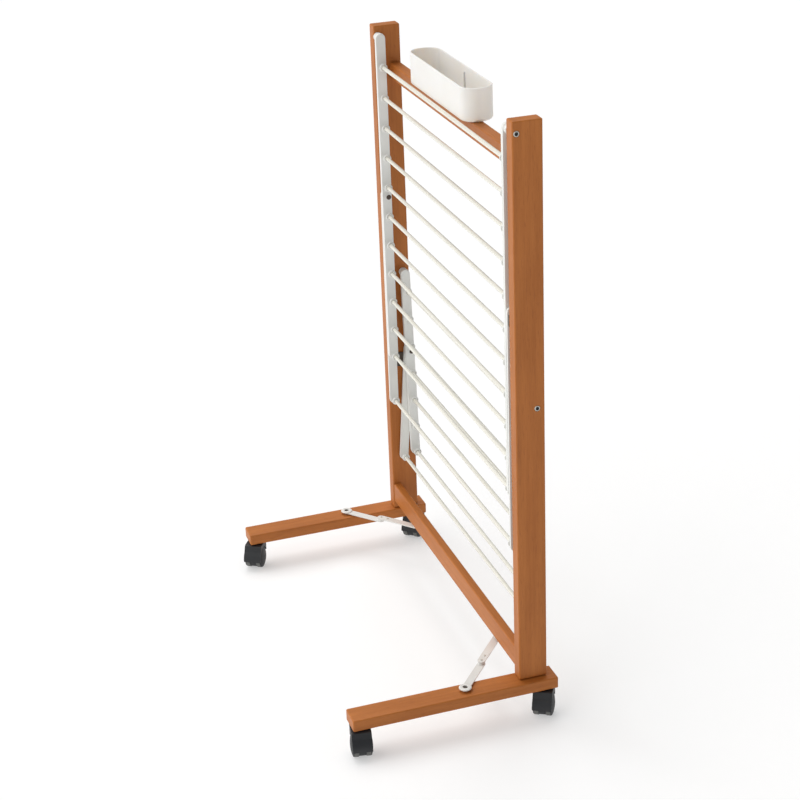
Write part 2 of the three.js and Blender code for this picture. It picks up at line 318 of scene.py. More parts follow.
def coated(name, key, rough, coat):
    """Powder coating or enamel on steel, with a faint orange-peel skin."""

    def make(colours):
        paint = Finish(name)
        peel = paint.noise(420, EVEN, 2.0)
        drift = paint.noise(22, EVEN, 2.0, 9)
        base = Vector(getattr(colours, key))
        surface = paint.mix(drift, base * 0.97, base * 1.02)
        return paint.set(
            Base_Color=surface,
            Roughness=peel * 0.08 + drift * 0.06 + (rough - 0.07),
            Normal=paint.bump(peel, 0.06 * MM, 0.5),
            Coat_Weight=coat,
            Coat_Roughness=0.12,
        )

    return make


def zinc_plate(colours):
    """Bright zinc on the bolts, with turning marks."""
    metal = Finish("zinc_plate")
    marks = metal.noise(2600, (0.25, 1, 1), 2.0)
    stain = metal.noise(240, EVEN, 3.0, 2)
    base = Vector(colours.zinc)
    return metal.set(
        Base_Color=metal.mix(stain, base * 0.82, base),
        Metallic=1.0,
        Roughness=marks * 0.16 + stain * 0.12 + 0.16,
        Normal=metal.bump(marks, 0.03 * MM, 0.4),
    )


def black_oxide(colours):
    """Dark oxide on the screws, worn a little on the high spots."""
    metal = Finish("black_oxide")
    wear = metal.noise(800, EVEN, 3.0)
    shine = metal.ramp(wear, [(0.52, 0.0), (0.68, 1.0)])
    base = Vector(colours.black)
    return metal.set(
        Base_Color=metal.mix(shine * 0.4, base, base * 4),
        Roughness=wear * 0.2 + 0.32,
        Normal=metal.bump(wear, 0.03 * MM, 0.5),
    )


def studio_floor(colours):
    """A pale matt floor, almost without texture."""
    sweep = Finish("studio_floor")
    grain = sweep.noise(60, EVEN, 2.0)
    base = Vector(colours.floor)
    return sweep.set(
        Base_Color=sweep.mix(grain, base * 0.995, base * 1.005),
        Roughness=0.9,
        Specular_IOR_Level=0.0,
        Emission_Color=(1.0, 1.0, 1.0),
        Emission_Strength=0.41,
    )


MAKERS = {
    "beech_upright": stained_beech("beech_upright", axis=2, shift=0.0),
    "beech_foot": stained_beech("beech_foot", axis=1, shift=1.7),
    "beech_crossbar": stained_beech("beech_crossbar", axis=0, shift=4.1),
    "white_plastic": moulded("white_plastic", "white", rough=0.36, grain=700, depth=0.04 * MM),
    "tray_plastic": moulded(
        "tray_plastic", "tray", rough=0.40, grain=520, depth=0.05 * MM, speckle=0.03, milky=0.85
    ),
    "brown_plastic": moulded("brown_plastic", "brown", rough=0.42, grain=900, depth=0.06 * MM),
    "black_plastic": moulded(
        "black_plastic", "black", rough=0.52, grain=1100, depth=0.10 * MM, speckle=0.2
    ),
    "grey_tread": moulded(
        "grey_tread", "tread", rough=0.62, grain=1500, depth=0.12 * MM, speckle=0.12
    ),
    "cream_coating": coated("cream_coating", "cream", rough=0.27, coat=0.35),
    "white_enamel": coated("white_enamel", "enamel", rough=0.38, coat=0.15),
    "zinc_plate": zinc_plate,
    "black_oxide": black_oxide,
    "studio_floor": studio_floor,
}


# ---- outlines --------------------------------------------------------------------------
def arc(centre, radius, start, stop, steps):
    """Points on an arc, from one angle to another in degrees."""
    angles = [math.radians(start + (stop - start) * i / steps) for i in range(steps + 1)]
    return [(centre[0] + radius * math.cos(a), centre[1] + radius * math.sin(a)) for a in angles]


def stadium(a, b, width, steps=14):
    """A bar with round ends between two points."""
    turn = math.degrees(math.atan2(b[1] - a[1], b[0] - a[0]))
    half = width / 2
    return arc(b, half, turn - 90, turn + 90, steps) + arc(a, half, turn + 90, turn + 270, steps)


def rounded_rectangle(low, high, radius, steps):
    (u0, v0), (u1, v1) = low, high
    r = radius
    return (
        arc((u1 - r, v0 + r), r, -90, 0, steps)
        + arc((u1 - r, v1 - r), r, 0, 90, steps)
        + arc((u0 + r, v1 - r), r, 90, 180, steps)
        + arc((u0 + r, v0 + r), r, 180, 270, steps)
    )


def eased(profile, radius, steps=3):
    """The profile with each inner corner rounded, as far as its neighbours leave room."""
    points = [Vector(p) for p in profile]
    out = [points[0]]
    for before, here, after in zip(points, points[1:], points[2:]):
        room = min(radius, (before - here).length * 0.45, (after - here).length * 0.45)
        start = here + (before - here).normalized() * room
        end = here + (after - here).normalized() * room
        for i in range(steps + 1):
            t = i / steps
            out.append(start * (1 - t) ** 2 + here * 2 * t * (1 - t) + end * t**2)
    out.append(points[-1])
    return [tuple(p) for p in out]


# ---- solids ----------------------------------------------------------------------------
AXES = {"X": (2, 0, 1), "Y": (0, 2, 1), "Z": (0, 1, 2)}


def prism(bm, outline, axis, low, high, edge, segments=3):
    """A plate with that outline, between two heights along an axis, with its rims rounded."""
    order = AXES[axis]
    rings = [
        [bm.verts.new([(u, v, w)[i] for i in order]) for u, v in outline] for w in (low, high)
    ]
    ends = [bm.faces.new(rings[0]), bm.faces.new(list(reversed(rings[1])))]
    rims = {e for face in ends for e in face.edges}
    count = len(outline)
    for i in range(count):
        j = (i + 1) % count
        bm.faces.new((rings[0][j], rings[0][i], rings[1][i], rings[1][j]))
    bmesh.ops.bevel(
        bm, geom=list(rims), offset=edge, segments=segments, profile=0.5,
        affect="EDGES", clamp_overlap=True,
    )


def block(bm, low, high, edge, segments=4):
    """A box between two corners with all its edges rounded."""
    size = Vector(high) - Vector(low)
    place = Matrix.Translation((Vector(low) + Vector(high)) / 2) @ Matrix.Diagonal((*size, 1))
    made = bmesh.ops.create_cube(bm, size=1, matrix=place)
    edges = {e for v in made["verts"] for e in v.link_edges}
    bmesh.ops.bevel(
        bm, geom=list(edges), offset=edge, segments=segments, profile=0.5, affect="EDGES"
    )


def turned(bm, profile, origin, direction, steps=40):
    """A turned piece: profile points are (radius, height along direction from origin)."""
    place = Matrix.Translation(origin) @ direction.to_track_quat("Z", "Y").to_matrix().to_4x4()
    rings = []
    for radius, height in profile:
        if radius < 1e-7:
            rings.append([bm.verts.new(place @ Vector((0, 0, height)))])
            continue
        angles = [2 * math.pi * k / steps for k in range(steps)]
        spots = [Vector((radius * math.cos(a), radius * math.sin(a), height)) for a in angles]
        rings.append([bm.verts.new(place @ spot) for spot in spots])
    for lower, upper in zip(rings, rings[1:]):
        for k in range(steps):
            n = (k + 1) % steps
            corners = [lower[k % len(lower)], lower[n % len(lower)]]
            corners += [upper[n % len(upper)], upper[k % len(upper)]]
            bm.faces.new(list(dict.fromkeys(corners)))


def loft(bm, rings):
    """A closed shell through rings of as many points each, with a face at either end."""
    loops = [[bm.verts.new(p) for p in ring] for ring in rings]
    bm.faces.new(list(reversed(loops[0])))
    bm.faces.new(loops[-1])
    count = len(loops[0])
    for lower, upper in zip(loops, loops[1:]):
        for i in range(count):
            j = (i + 1) % count
            bm.faces.new((lower[i], lower[j], upper[j], upper[i]))


# ---- pieces ----------------------------------------------------------------------------
SHARP = math.radians(38)


def new_object(name, mesh, surface):
    piece = bpy.data.objects.new(name, mesh)
    bpy.context.scene.collection.objects.link(piece)
    mesh.materials.clear()
    mesh.materials.append(finish(surface))
    return piece


def smooth_shading(bm):
    """Smooth faces, with an edge left sharp where the surface really turns."""
    for face in bm.faces:
        face.smooth = True
    for edge in bm.edges:
        if len(edge.link_faces) == 2:
            edge.smooth = edge.calc_face_angle(0.0) < SHARP


def bake(piece):
    """Turns a piece and its modifiers into a plain mesh."""
    bpy.context.view_layer.update()
    graph = bpy.context.evaluated_depsgraph_get()
    mesh = bpy.data.meshes.new_from_object(
        piece.evaluated_get(graph), preserve_all_data_layers=True, depsgraph=graph
    )
    old = piece.data
    piece.modifiers.clear()
    piece.data = mesh
    bpy.data.meshes.remove(old)
    mesh.name = piece.name


def cutter_from(bm, surface):
    """A closed shape to cut a piece with. solid() takes it away once it has cut."""
    bmesh.ops.recalc_face_normals(bm, faces=bm.faces)
    mesh = bpy.data.meshes.new("cutter")
    bm.to_mesh(mesh)
    bm.free()
    return new_object("cutter", mesh, surface)


def solid(name, bm, surface, cutter=None):
    """Makes a piece from bmesh data, cuts it if asked, and evens its shading."""
    bmesh.ops.remove_doubles(bm, verts=bm.verts, dist=1e-7)
    bmesh.ops.recalc_face_normals(bm, faces=bm.faces)
    smooth_shading(bm)
    mesh = bpy.data.meshes.new(name)
    bm.to_mesh(mesh)
    bm.free()
    piece = new_object(name, mesh, surface)
    if cutter:
        cut = piece.modifiers.new("Bores", "BOOLEAN")
        cut.operation = "DIFFERENCE"
        cut.solver = "EXACT"
        cut.object = cutter
        bake(piece)
        bpy.data.objects.remove(cutter)
        bm = bmesh.new()
        bm.from_mesh(piece.data)
        smooth_shading(bm)
        bm.to_mesh(piece.data)
        bm.free()
    even = piece.modifiers.new("Normals", "WEIGHTED_NORMAL")
    even.keep_sharp = True
    bake(piece)
    return piece


def attach(piece, body, nodes=()):
    """The piece rides on a body, and stands for CAD nodes, which are hidden."""
    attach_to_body(piece, body)
    if nodes:
        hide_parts(*nodes)


# ---- geometry nodes --------------------------------------------------------------------
class NodeTree:
    """A geometry node tree with named inputs, and the way to run it on a new object."""

    def __init__(self, name, sockets):
        self.tree = bpy.data.node_groups.new(name, "GeometryNodeTree")
        self.names = {}
        for label, kind in sockets.items():
            made = self.tree.interface.new_socket(name=label, in_out="INPUT", socket_type=kind)
            self.names[label] = made.identifier
        self.tree.interface.new_socket(
            name="Geometry", in_out="OUTPUT", socket_type="NodeSocketGeometry"
        )
        self.inputs = self.tree.nodes.new("NodeGroupInput").outputs

    def node(self, kind, settings=None, inputs=None):
        """A node: its settings first, then its sockets' values, or links from other outputs."""
        made = self.tree.nodes.new(kind)
        for key, value in (settings or {}).items():
            setattr(made, key, value)
        for key, value in (inputs or {}).items():
            if isinstance(value, bpy.types.NodeSocket):
                self.tree.links.new(value, made.inputs[key])
            else:
                made.inputs[key].default_value = value
        return made.outputs

    def end(self, instances, smooth_faces=None):
        """The tree's last nodes: real geometry, smooth faces, the finish."""
        real = self.node("GeometryNodeRealizeInstances", {}, {0: instances})[0]
        inputs = {"Geometry": real}
        if smooth_faces is not None:
            inputs["Selection"] = smooth_faces
        smooth = self.node("GeometryNodeSetShadeSmooth", {}, inputs)[0]
        last = self.node(
            "GeometryNodeSetMaterial", {}, {"Geometry": smooth, "Material": self.inputs["Finish"]}
        )
        self.node("NodeGroupOutput", {}, {0: last[0]})

    def run(self, name, surface, **values):
        """A new piece with the tree's result as a plain mesh."""
        piece = new_object(name, bpy.data.meshes.new(name), surface)
        modifier = piece.modifiers.new("Repeat", "NODES")
        modifier.node_group = self.tree
        modifier[self.names["Finish"]] = finish(surface)
        for label, value in values.items():
            modifier[self.names[label]] = value
        bake(piece)
        if not piece.data.polygons:
            raise RuntimeError(f"the tree {self.tree.name} made nothing for {name}")
        return piece


ROW = {"Count": "NodeSocketInt", "Start": "NodeSocketVector", "Step": "NodeSocketVector"}


def mesh_line(tree, start):
    """The points of a row, from its start on."""
    return tree.node(
        "GeometryNodeMeshLine", {"mode": "OFFSET"},
        {"Count": tree.inputs["Count"], "Start Location": start, "Offset": tree.inputs["Step"]},
    )[0]


def rod_tree():
    """A row of straight rods across the rack."""
    sockets = {**ROW, "Half": "NodeSocketFloat", "Radius": "NodeSocketFloat"}
    sockets |= {"Sides": "NodeSocketInt", "Finish": "NodeSocketMaterial"}
    tree = NodeTree("Rod row", sockets)
    right = tree.node("ShaderNodeCombineXYZ", {}, {"X": tree.inputs["Half"]})[0]
    left = tree.node("ShaderNodeVectorMath", {"operation": "SCALE"}, {0: right, "Scale": -1.0})[0]
    path = tree.node("GeometryNodeCurvePrimitiveLine", {}, {"Start": left, "End": right})[0]
    ring = tree.node(
        "GeometryNodeCurvePrimitiveCircle", {},
        {"Resolution": tree.inputs["Sides"], "Radius": tree.inputs["Radius"]},
    )[0]
    rod = tree.node(
        "GeometryNodeCurveToMesh", {}, {"Curve": path, "Profile Curve": ring, "Fill Caps": True}
    )[0]
    row = tree.node(
        "GeometryNodeInstanceOnPoints", {},
        {"Points": mesh_line(tree, tree.inputs["Start"]), "Instance": rod},
    )[0]
    tree.end(row, side_faces(tree))
    return tree


def side_faces(tree):
    """Picks the faces that don't look along X, so that flat ends stay flat."""
    normal = tree.node("GeometryNodeInputNormal")[0]
    parts = tree.node("ShaderNodeSeparateXYZ", {}, {0: normal})
    size = tree.node("ShaderNodeMath", {"operation": "ABSOLUTE"}, {0: parts[0]})[0]
    return tree.node("FunctionNodeCompare", {"operation": "LESS_THAN"}, {0: size, 1: 0.9})[0]


def collar_tree():
    """Two rows of rounded collars that face each other across the rack."""
    sockets = {**ROW, "Reach": "NodeSocketFloat", "Radius": "NodeSocketFloat"}
    sockets |= {"Width": "NodeSocketFloat", "Height": "NodeSocketFloat"}
    sockets |= {"Finish": "NodeSocketMaterial"}
    tree = NodeTree("Collar rows", sockets)

    def sums(operation, first, second):
        return tree.node("ShaderNodeMath", {"operation": operation}, {0: first, 1: second})[0]

    half = sums("MULTIPLY", tree.inputs["Width"], 0.5)
    path = tree.node(
        "GeometryNodeCurvePrimitiveCircle", {},
        {"Resolution": 36, "Radius": sums("SUBTRACT", tree.inputs["Radius"], half)},
    )[0]
    section = tree.node(
        "GeometryNodeCurvePrimitiveQuadrilateral", {},
        {"Width": tree.inputs["Width"], "Height": tree.inputs["Height"]},
    )[0]
    rounded = tree.node(
        "GeometryNodeFilletCurve", {"mode": "POLY"},
        {"Curve": section, "Radius": sums("MULTIPLY", tree.inputs["Height"], 0.42), "Count": 4},
    )[0]
    collar = tree.node(
        "GeometryNodeCurveToMesh", {}, {"Curve": path, "Profile Curve": rounded}
    )[0]
    join = tree.tree.nodes.new("GeometryNodeJoinGeometry")
    for side in SIDES.values():
        half_height = sums("MULTIPLY", tree.inputs["Height"], -0.5 * side)
        out = sums("ADD", sums("MULTIPLY", tree.inputs["Reach"], side), half_height)
        across = tree.node("ShaderNodeCombineXYZ", {}, {"X": out})[0]
        start = tree.node(
            "ShaderNodeVectorMath", {"operation": "ADD"}, {0: tree.inputs["Start"], 1: across}
        )[0]
        tree.tree.links.new(mesh_line(tree, start), join.inputs[0])
    copies = tree.node(
        "GeometryNodeInstanceOnPoints", {},
        {"Points": join.outputs[0], "Instance": collar, "Rotation": (0, math.pi / 2, 0)},
    )[0]
    tree.end(copies)
    return tree


def copy_tree():
    """One shape on both sides of the rack, the one on the left turned half round."""
    tree = NodeTree(
        "Copies on both sides",
        {"Shape": "NodeSocketObject", "Reach": "NodeSocketFloat", "Spot": "NodeSocketVector",
         "Finish": "NodeSocketMaterial"},
    )
    shape = tree.node("GeometryNodeObjectInfo", {}, {"Object": tree.inputs["Shape"]})["Geometry"]
    join = tree.tree.nodes.new("GeometryNodeJoinGeometry")
    for side, turn in ((1, 0.0), (-1, math.pi)):
        out = tree.node(
            "ShaderNodeMath", {"operation": "MULTIPLY"}, {0: tree.inputs["Reach"], 1: side}
        )[0]
        across = tree.node("ShaderNodeCombineXYZ", {}, {"X": out})[0]
        place = tree.node(
            "ShaderNodeVectorMath", {"operation": "ADD"}, {0: tree.inputs["Spot"], 1: across}
        )[0]
        moved = tree.node(
            "GeometryNodeTransform", {},
            {"Geometry": shape, "Translation": place, "Rotation": (0, 0, turn)},
        )[0]
        tree.tree.links.new(moved, join.inputs[0])
    tree.end(join.outputs[0])
    return tree


TREES = {}


def tree_for(make):
    """The node tree that make gives, built when it is first asked for."""
    if make not in TREES:
        TREES[make] = make()
    return TREES[make]


def both_sides(name, profile, out, spot, surface):
    """A turned shape on both sides of the rack, its axis along X.

    The profile's heights point away from the rack's middle plane, from out on. spot is the
    point of that plane between the two copies.
    """
    bm = bmesh.new()
    turned(bm, profile, Vector((0, 0, 0)), X_AXIS, 32)
    shape = solid(name + "_shape", bm, surface)
    piece = tree_for(copy_tree).run(name, surface, Shape=shape, Reach=out, Spot=tuple(spot))
    bpy.data.objects.remove(shape)
    return piece


# ---- operators: the wooden frame -------------------------------------------------------
CLEARANCE = 0.3 * MM
BORE_DEPTH = 3.3 * MM
BAR_END_EDGE = 0.4 * MM


class RACK_OT_posts(bpy.types.Operator):
    """Make the two posts, with a counterbore for each pivot bolt's head"""

    bl_idname = "rack.posts"
    bl_label = "Posts"

    def execute(self, context):
        sizes = context.scene.rack_sizes
        for name, side in SIDES.items():
            node = f"post_{name}"
            low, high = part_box(node)
            face = high.x if side > 0 else low.x
            bm = bmesh.new()
            block(bm, low, high, sizes.post_edge)
            bores = self.bores(face - side * BORE_DEPTH, side)
            piece = solid(f"beech_post_{name}", bm, "beech_upright", bores)
            attach(piece, "frame", [node])
        return {"FINISHED"}

    def bores(self, floor, side):
        """The counterbores of one post, from their floors outwards."""
        radius, deep = BOLT["head"] + CLEARANCE, 3 * BORE_DEPTH
        bm = bmesh.new()
        for wing in WINGS:
            at = joint_at(f"{wing}_wing_hinge")
            profile = [(0, 0), (radius, 0), (radius, deep), (0, deep)]
            turned(bm, profile, Vector((floor, at.y, at.z)), X_AXIS * side, 36)
        return cutter_from(bm, "beech_upright")


class RACK_OT_crossbars(bpy.types.Operator):
    """Make the two crossbars between the posts"""

    bl_idname = "rack.crossbars"
    bl_label = "Crossbars"

    def execute(self, context):
        sizes = context.scene.rack_sizes
        for level in ("upper", "lower"):
            node = f"crossbar_{level}"
            low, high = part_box(node)
            bm = bmesh.new()
            outline = rounded_rectangle((low.y, low.z), (high.y, high.z), sizes.bar_edge, 5)
            prism(bm, outline, "X", low.x, high.x, BAR_END_EDGE, 2)
            attach(solid(f"beech_{node}", bm, "beech_crossbar"), "frame", [node])
        return {"FINISHED"}


class RACK_OT_feet(bpy.types.Operator):
    """Make the two feet that turn inwards under the posts"""

    bl_idname = "rack.feet"
    bl_label = "Feet"

    def execute(self, context):
        sizes = context.scene.rack_sizes
        for name in SIDES:
            node = f"foot_{name}"
            bm = bmesh.new()
            block(bm, *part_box(node), sizes.post_edge)
            attach(solid(f"beech_{node}", bm, "beech_foot"), node, [node])
        return {"FINISHED"}


# ---- operators: wings, stays, pivots ---------------------------------------------------
def flat_bar(body, node, top, bottom, width, edge):
    """A flat white bar with round ends at the place of a rail or stay bar."""
    low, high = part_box(node)
    bm = bmesh.new()
    outline = stadium((top.y, top.z), (bottom.y, bottom.z), width)
    prism(bm, outline, "X", low.x, high.x, edge)
    attach(solid(f"plastic_{node}", bm, "white_plastic"), body, [node])


def rods_of(wing):
    """The wing's rods, the middle points of the first and last, and the step between rods."""
    rods = sorted(n for n in frame["nodes"] if n.startswith(f"{wing}_rod_"))
    first, last = middle(rods[0]), middle(rods[-1])
    return rods, first, last, (last - first) / (len(rods) - 1)


def rod_radius(node):
    low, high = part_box(node)
    return (high.z - low.z) / 2


def rod_half(node):
    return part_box(node)[1].x


RIVET_BACK = {"radius": 3.5 * MM, "taper": 0.2 * MM, "height": 0.35 * MM}


class RACK_OT_wings(bpy.types.Operator):
    """Make the wings: rails, rods, the collars round the rods, and the stays' rivets"""

    bl_idname = "rack.wings"
    bl_label = "Wings"

    def execute(self, context):
        sizes = context.scene.rack_sizes
        for wing in WINGS:
            body = f"{wing}_wing"
            pivot = joint_at(f"{wing}_wing_hinge")
            rods, first, last, step = rods_of(wing)
            inner, _ = reach(f"{wing}_rail_right")
            width = 2 * (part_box(f"{wing}_rail_right")[1].z - pivot.z)
            for name in SIDES:
                flat_bar(body, f"{wing}_rail_{name}", pivot, last, width, sizes.rail_edge)
            piece = tree_for(rod_tree).run(
                f"{wing}_rods", "cream_coating", Count=len(rods), Start=tuple(first),
                Step=tuple(step), Half=rod_half(rods[0]), Radius=rod_radius(rods[0]),
                Sides=sizes.rod_sides,
            )
            attach(piece, body, rods)
            piece = tree_for(collar_tree).run(
                f"{wing}_rod_collars", "white_plastic", Count=len(rods), Start=tuple(first),
                Step=tuple(step), Reach=inner, Radius=sizes.collar_radius,
                Width=sizes.collar_width, Height=sizes.collar_height,
            )
            attach(piece, body)
            self.rivets(sizes, wing, inner)
        return {"FINISHED"}

    def rivets(self, sizes, wing, inner):
        """The rivets a stay turns on: domed in front of the rail, flat behind the stay bar."""
        body, spot = f"{wing}_wing", joint_at(f"{wing}_stay_hinge")
        r, h = sizes.rivet_radius, sizes.rivet_height
        dome = [(0, -h), (0.62 * r, -h), (r, -0.45 * h), (r, 0.0), (0, 0.0)]
        dome = eased(dome, 0.7 * MM)
        piece = both_sides(f"{wing}_stay_rivets", dome, inner, spot, "brown_plastic")
        attach(piece, body)
        r, h = RIVET_BACK["radius"], RIVET_BACK["height"]
        back = eased([(0, 0), (r, 0), (r - RIVET_BACK["taper"], h), (0, h)], 0.2 * MM)
        behind = reach(f"{wing}_stay_bar_right")[1]
        piece = both_sides(f"{wing}_rivet_backs", back, behind, spot, "brown_plastic")
        attach(piece, body)


CAP = {"gap": 0.1 * MM, "lip": 1.2 * MM, "slope": 0.8 * MM}


class RACK_OT_stays(bpy.types.Operator):
    """Make the stays: two bars each, the rod between their ends, and its caps"""

    bl_idname = "rack.stays"
    bl_label = "Stays"

    def execute(self, context):
        sizes = context.scene.rack_sizes
        for wing in WINGS:
            body, rod = f"{wing}_stay", f"{wing}_stay_rod"
            top, end = joint_at(f"{wing}_stay_hinge"), middle(rod)
            inner, _ = reach(f"{wing}_stay_bar_right")
            width = 2 * (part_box(f"{wing}_stay_bar_right")[1].z - top.z)
            for name in SIDES:
                flat_bar(body, f"{wing}_stay_bar_{name}", top, end, width, 0.8 * sizes.rail_edge)
            radius = rod_radius(rod)
            piece = tree_for(rod_tree).run(
                f"{rod}_coated", "cream_coating", Count=1, Start=tuple(end), Step=(0, 0, 0),
                Half=rod_half(rod), Radius=radius, Sides=sizes.rod_sides,
            )
            attach(piece, body, [rod])
            r, h = sizes.cap_radius, sizes.cap_height
            bore = radius + CAP["gap"]
            cap = [(bore, 0), (bore, -h), (bore + CAP["lip"], -h), (r - CAP["slope"], -h)]
            cap = eased([*cap, (r, -0.4 * h), (r, 0), (bore, 0)], 0.8 * MM)
            piece = both_sides(f"{wing}_stay_caps", cap, inner, end, "white_plastic")
            attach(piece, body)
        return {"FINISHED"}


BOLT = {"head": 4.8 * MM, "shank": 3.0 * MM, "length": 3.4 * MM, "edge": 0.7 * MM, "well": 2 * MM}
SCREW = {"radius": 3.1 * MM, "fit": 0.15 * MM, "low": 1.9 * MM, "top": 0.5 * MM}
SOCKET = {"radius": 2.0 * MM, "floor": 1.7 * MM, "past": 1 * MM}
SPACER_WAIST = 0.6 * MM


class RACK_OT_pivots(bpy.types.Operator):
    """Make the socket bolts that the wings turn on and the spacers behind the rails"""

    bl_idname = "rack.pivots"
    bl_label = "Pivots"

    def execute(self, context):
        for wing in WINGS:
            at = joint_at(f"{wing}_wing_hinge")
            for name, side in SIDES.items():
                line = Vector((0, at.y, at.z)), X_AXIS * side
                self.bolt(wing, name, *line)
                self.spacer(wing, name, *line)
        return {"FINISHED"}

    def bolt(self, wing, name, base, out):
        """A zinc sleeve with a dark socket screw in it."""
        node = f"{wing}_pivot_bolt_{name}"
        low, top = reach(node)
        head, shank, screw = BOLT["head"], BOLT["shank"], SCREW["radius"]
        shoulder, well = top - BOLT["length"], top - BOLT["well"]
        sleeve = [
            (0, low), (shank, low), (shank, shoulder), (head, shoulder),
            (head, top - BOLT["edge"]), (head - BOLT["edge"], top), (screw, top),
            (screw, well), (0, well),
        ]
        bm = bmesh.new()
        turned(bm, eased(sleeve, 0.25 * MM), base, out)
        attach(solid(f"zinc_{node}", bm, "zinc_plate"), "frame", [node])
        bm = bmesh.new()
        radius, floor, above = SOCKET["radius"], top - SOCKET["floor"], top + SOCKET["past"]
        turned(bm, [(0, floor), (radius, floor), (radius, above), (0, above)], base, out, 6)
        socket = cutter_from(bm, "black_oxide")
        radius, low, top = screw - SCREW["fit"], top - SCREW["low"], top - SCREW["top"]
        bm = bmesh.new()
        profile = eased([(0, low), (radius, low), (radius, top), (0, top)], 0.3 * MM)
        turned(bm, profile, base, out)
        attach(solid(f"screw_{wing}_{name}", bm, "black_oxide", socket), "frame")

    def spacer(self, wing, name, base, out):
        """A ring between post and stay layer, with a narrower waist."""
        node = f"{wing}_pivot_spacer_{name}"
        low, high = reach(node)
        radius, span = rod_radius(node), high - low
        hole, waist = BOLT["shank"] + CLEARANCE, radius - SPACER_WAIST
        ring = [
            (hole, 0), (radius, 0), (radius, 0.22 * span), (waist, 0.3 * span),
            (waist, 0.7 * span), (radius, 0.78 * span), (radius, span), (hole, span),
        ]
        ring = eased(ring, 0.35 * MM)
        bm = bmesh.new()
        turned(bm, [*ring, ring[0]], base + out * low, out)
        attach(solid(f"plastic_{node}", bm, "white_plastic"), "frame", [node])


CATCH = {"corner": 3 * MM, "clearance": 0.7 * MM, "edge": 0.35 * MM}


class RACK_OT_catches(bpy.types.Operator):
    """Make the plates on the posts, each with a seat for the end of an open stay"""

    bl_idname = "rack.catches"
    bl_label = "Catches"

    def execute(self, context):
        for wing in WINGS:
            pivot = joint_at(f"{wing}_wing_hinge")
            rivet = joint_at(f"{wing}_stay_hinge")
            down = (rivet - pivot).length
            arm = (middle(f"{wing}_stay_rod") - rivet).length * math.sqrt(0.5)
            opens = -1 if wing == "front" else 1
            seat = (pivot.y + opens * (down - arm), pivot.z - arm)
            radius = rod_radius(f"{wing}_stay_rod") + CATCH["clearance"]
            for name in SIDES:
                node = f"{wing}_catch_{name}"
                low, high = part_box(node)
                dip = math.degrees(math.asin((seat[1] - high.z) / radius))
                corner = CATCH["corner"]
                outline = arc((high.y - corner, low.z + corner), corner, -90, 0, 6)
                outline += [(high.y, high.z)]
                outline += arc(seat, radius, -dip, dip - 180, 14)
                outline += [(low.y, high.z)]
                outline += arc((low.y + corner, low.z + corner), corner, 180, 270, 6)
                bm = bmesh.new()
                prism(bm, outline, "X", low.x, high.x, CATCH["edge"], 2)
                piece = solid(f"brown_{node}", bm, "brown_plastic")
                attach(piece, "frame", [node])
        return {"FINISHED"}


# ---- operators: braces and casters -----------------------------------------------------
# Heights above the deck, which is the top of the feet.
LINK = {"foot": 2.5 * MM, "bar": 8.5 * MM, "thick": 2 * MM, "edge": 0.6 * MM, "post": 5 * MM}
OVERLAP = 0.2 * MM  # how far a boss sinks into its link
WASHER = {"height": 2.3 * MM, "bevel": 1.6 * MM, "side": 0.6 * MM, "floor": 0.4 * MM}
PIN = {"fit": 0.2 * MM, "side": 0.9 * MM, "crown": 1.3 * MM}
LINK_RIVET = {"radius": 2.3 * MM, "side": 0.4 * MM, "crown": 1.0 * MM, "flat": 1.3 * MM}
LINK_RIVET_SPOTS = (0.5 * MM, 15 * MM)  # distances from the knuckle


def column(bm, radius, low, high, base):
    """A short upright round boss."""
    turned(bm, [(0, low), (radius, low), (radius, high), (0, high)], base, Z_AXIS)


